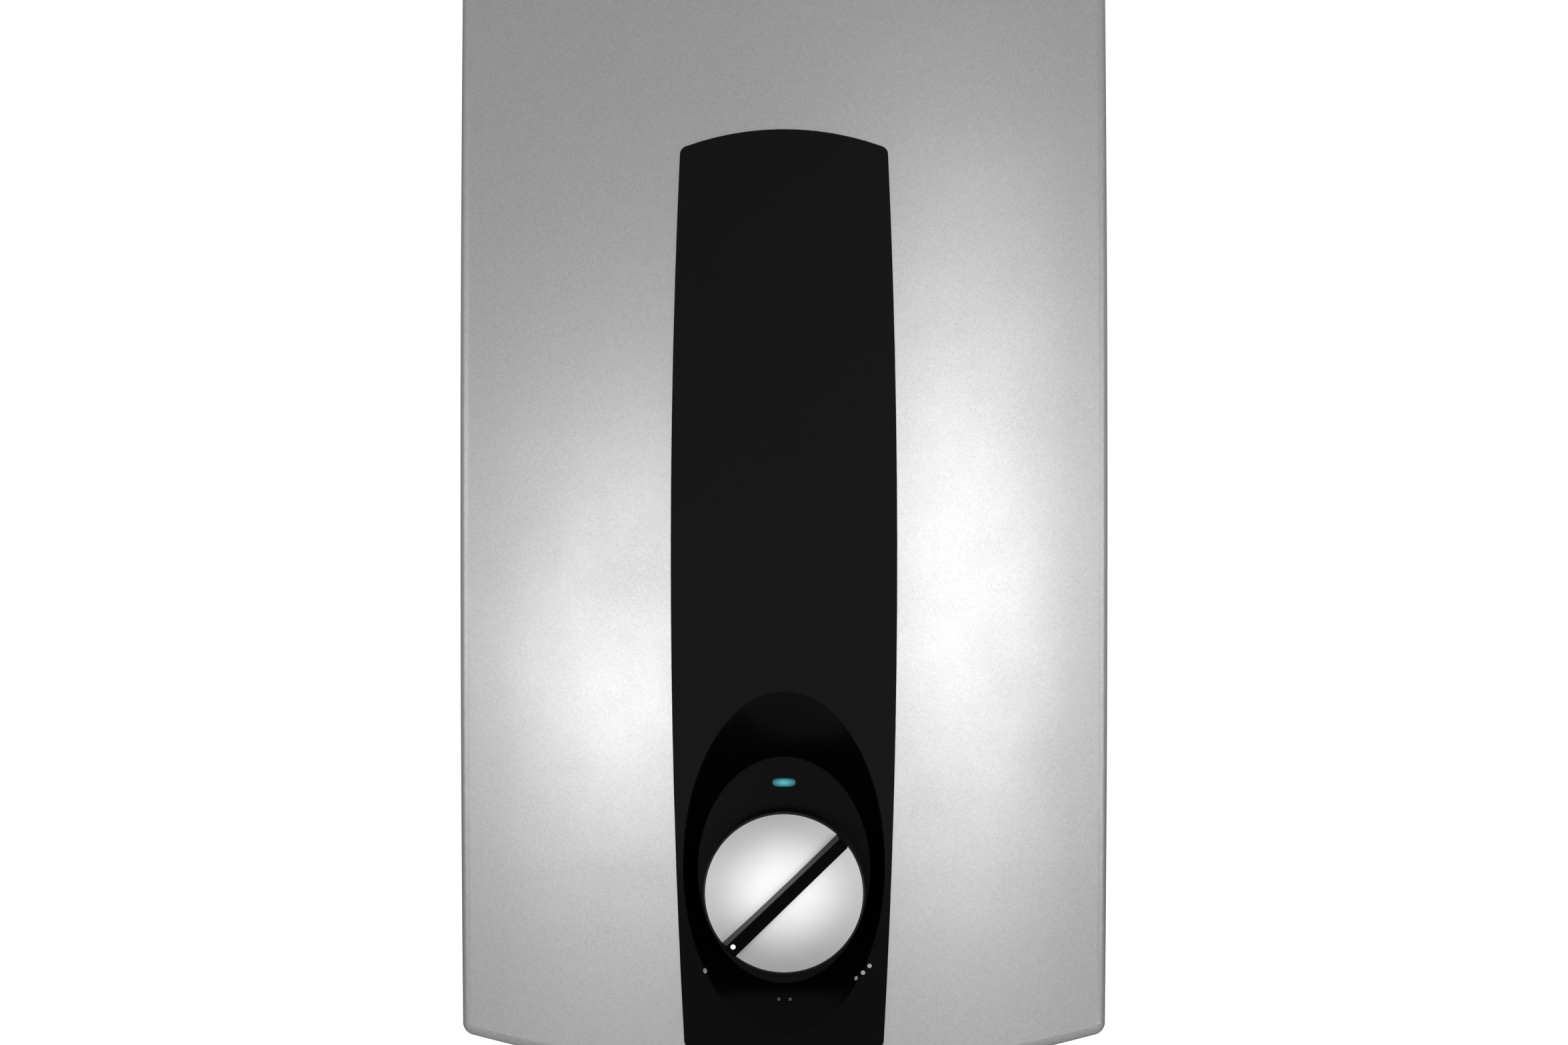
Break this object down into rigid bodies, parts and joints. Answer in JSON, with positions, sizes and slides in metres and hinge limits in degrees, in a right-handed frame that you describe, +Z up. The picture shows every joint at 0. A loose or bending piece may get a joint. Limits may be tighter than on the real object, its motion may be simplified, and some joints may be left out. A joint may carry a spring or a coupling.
{
  "type": "tankless water heater",
  "caption": "Wall-hung electric instantaneous water heater: curved silver cover, black control panel with a bowl and turning knob, threaded water nipples below.",
  "frame": {"origin": "middle of the rear housing's flat back, on the wall plane", "axes": "+Z up, +Y into the wall, -Y out of the front, +X to the right as seen from the front"},
  "size_m": [0.2, 0.1042, 0.3779],
  "materials": {
    "cover_silver": "satin silver paint on moulded plastic",
    "panel_black": "fine textured black moulding",
    "knob_black": "black moulding",
    "knob_silver": "satin domed cap",
    "pointer_white": "white inlay",
    "lens_cyan": "clear light pipe, tinted",
    "housing_grey": "moulded grey plastic",
    "copper": "bare copper",
    "brass": "turned brass",
    "steel": "zinc-plated steel",
    "element_steel": "sheathed heating element",
    "seal_rubber": "black rubber",
    "sensor_plastic": "glass-filled black plastic",
    "turbine_white": "acetal",
    "ceramic_white": "ceramic",
    "board_green": "solder-masked laminate",
    "component_black": "moulded component case",
    "component_blue": "relay case",
    "coil_yellow": "taped coil",
    "plug_white": "nylon",
    "block_ivory": "polyamide terminal block",
    "button_red": "red button",
    "lead_brown": "silicone-covered lead",
    "lead_white": "covered signal lead"
  },
  "bodies": {
    "base": {"rear_housing": "housing_grey", "heating_cylinder": "copper", "cylinder_cap": "brass", "heating_elements": "element_steel", "element_bushings": "ceramic_white", "outlet_pipe": "copper", "outlet_probe": "component_black", "hot_nipple": "brass", "cold_nipple": "brass", "lock_nuts": "brass", "inlet_strainer": "steel", "flow_limiter": "plug_white", "flow_sensor_body": "sensor_plastic", "stub_seals": "seal_rubber", "turbine_axle": "steel", "flow_pickup": "component_black", "cylinder_clamps": "steel", "clamp_screws": "steel", "pipe_clips": "steel", "thermal_cutout": "component_black", "power_switch": "component_black", "control_board": "board_green", "board_screws": "steel", "potentiometer_body": "component_black", "status_led": "turbine_white", "relays": "component_blue", "transformer": "coil_yellow", "capacitors": "component_black", "control_chip": "component_black", "board_plugs": "plug_white", "terminal_block": "block_ivory", "terminal_screws": "steel", "cable_grommet": "seal_rubber", "cover_screws": "steel", "power_leads": "lead_brown", "signal_leads": "lead_white"},
    "cover": {"front_cover": "cover_silver", "control_panel": "panel_black", "light_pipe": "lens_cyan"},
    "knob": {"knob_body": "knob_black", "knob_cap": "knob_silver", "knob_grip": "knob_black", "pointer_dot": "pointer_white", "knob_spindle": "steel"},
    "rotor": {"potentiometer_rotor": "plug_white"},
    "turbine": {"flow_turbine": "turbine_white"},
    "button": {"reset_button": "button_red"}
  },
  "joints": [
    {"name": "cover_lift_off", "type": "slide", "parent": "base", "child": "cover", "axis": [0, -1, 0], "range_m": [0, 0.13]},
    {"name": "knob_turn", "type": "hinge", "parent": "cover", "child": "knob", "pos_m": [0, -0.09, -0.1223], "axis": [0, -1, 0], "range_deg": [0, 90]},
    {"name": "potentiometer_turn", "type": "hinge", "parent": "base", "child": "rotor", "pos_m": [0, -0.07, -0.1223], "axis": [0, -1, 0], "range_deg": [0, 90]},
    {"name": "turbine_spin", "type": "hinge", "parent": "base", "child": "turbine", "pos_m": [0.05, -0.032, -0.12731], "axis": [0, 0, 1], "continuous": true},
    {"name": "reset_press", "type": "slide", "parent": "base", "child": "button", "axis": [0, 1, 0], "range_m": [0, 0.0015], "stiffness_N_per_m": 400}
  ],
  "couplings": [
    {"joint": "potentiometer_turn", "follows": "knob_turn", "ratio": 1}
  ]
}
